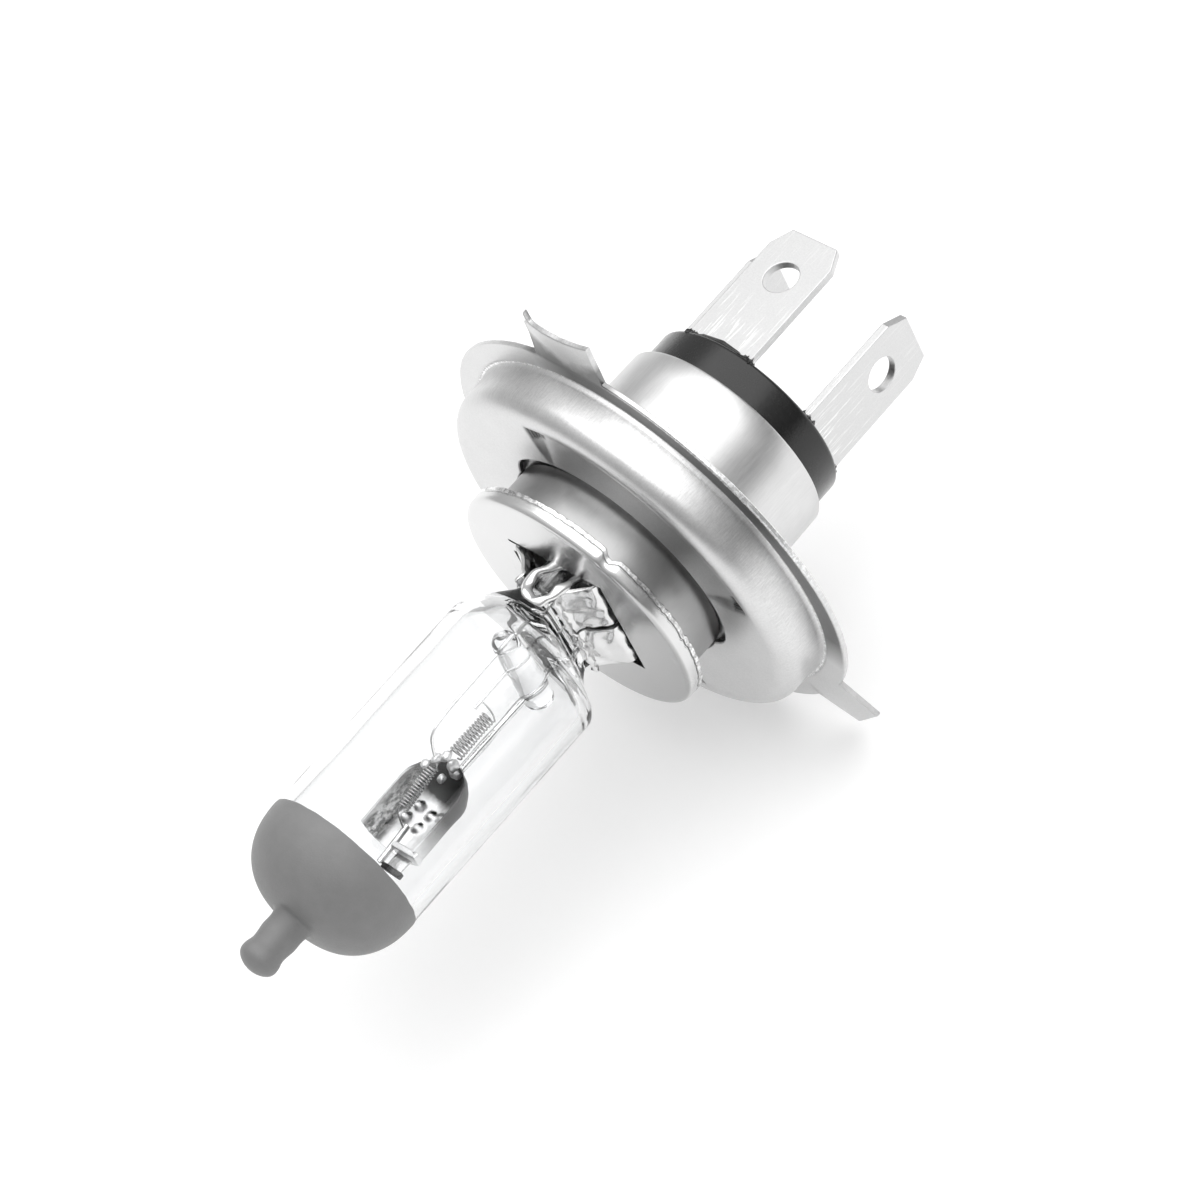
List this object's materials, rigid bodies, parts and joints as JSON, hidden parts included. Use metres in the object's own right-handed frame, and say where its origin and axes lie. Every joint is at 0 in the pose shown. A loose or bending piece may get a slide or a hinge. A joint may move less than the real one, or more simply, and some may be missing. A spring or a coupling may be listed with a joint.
{
  "type": "headlight bulb",
  "caption": "Halogen headlight bulb with a grey-tipped quartz tube, shielded coil filaments, a flanged locating ring with lugs and flat rear contact blades.",
  "frame": {"origin": "on the bulb's axis, in the plane of the locating ring's seating face", "axes": "+Y along the bulb's axis from the glass tip to the contact blades, +Z towards the wide lug and the top blade, which is up when the bulb sits in a headlamp, +X to complete a right-handed frame"},
  "size_m": [0.043, 0.0794, 0.0471],
  "materials": {
    "quartz": "clear polished quartz",
    "grey_coat": "satin grey anti-glare coat",
    "ring_steel": "bright plated sheet with draw marks",
    "shell_steel": "brushed along the axis",
    "blade_metal": "tin plated, satin",
    "black_resin": "glossy moulded",
    "tungsten": "drawn wire",
    "molybdenum": "polished sheet and wire"
  },
  "bodies": {
    "root": {"locating_ring": "ring_steel", "front_cap": "ring_steel", "sleeve": "ring_steel", "burner_holder": "ring_steel", "base_shell": "shell_steel", "insulator": "black_resin", "blade_top": "blade_metal", "blade_right": "blade_metal", "blade_left": "blade_metal", "outer_lead_top": "blade_metal", "outer_lead_right": "blade_metal", "outer_lead_left": "blade_metal", "quartz_envelope": "quartz", "antiglare_cap": "grey_coat", "pinch_seal": "quartz", "quartz_bridge": "quartz", "foil_dipped": "molybdenum", "foil_main": "molybdenum", "foil_common": "molybdenum", "lead_dipped": "molybdenum", "lead_main": "molybdenum", "lead_common": "molybdenum", "filament_post": "molybdenum", "dipped_shield": "molybdenum", "dipped_filament": "tungsten", "main_filament": "tungsten"}
  },
  "joints": []
}
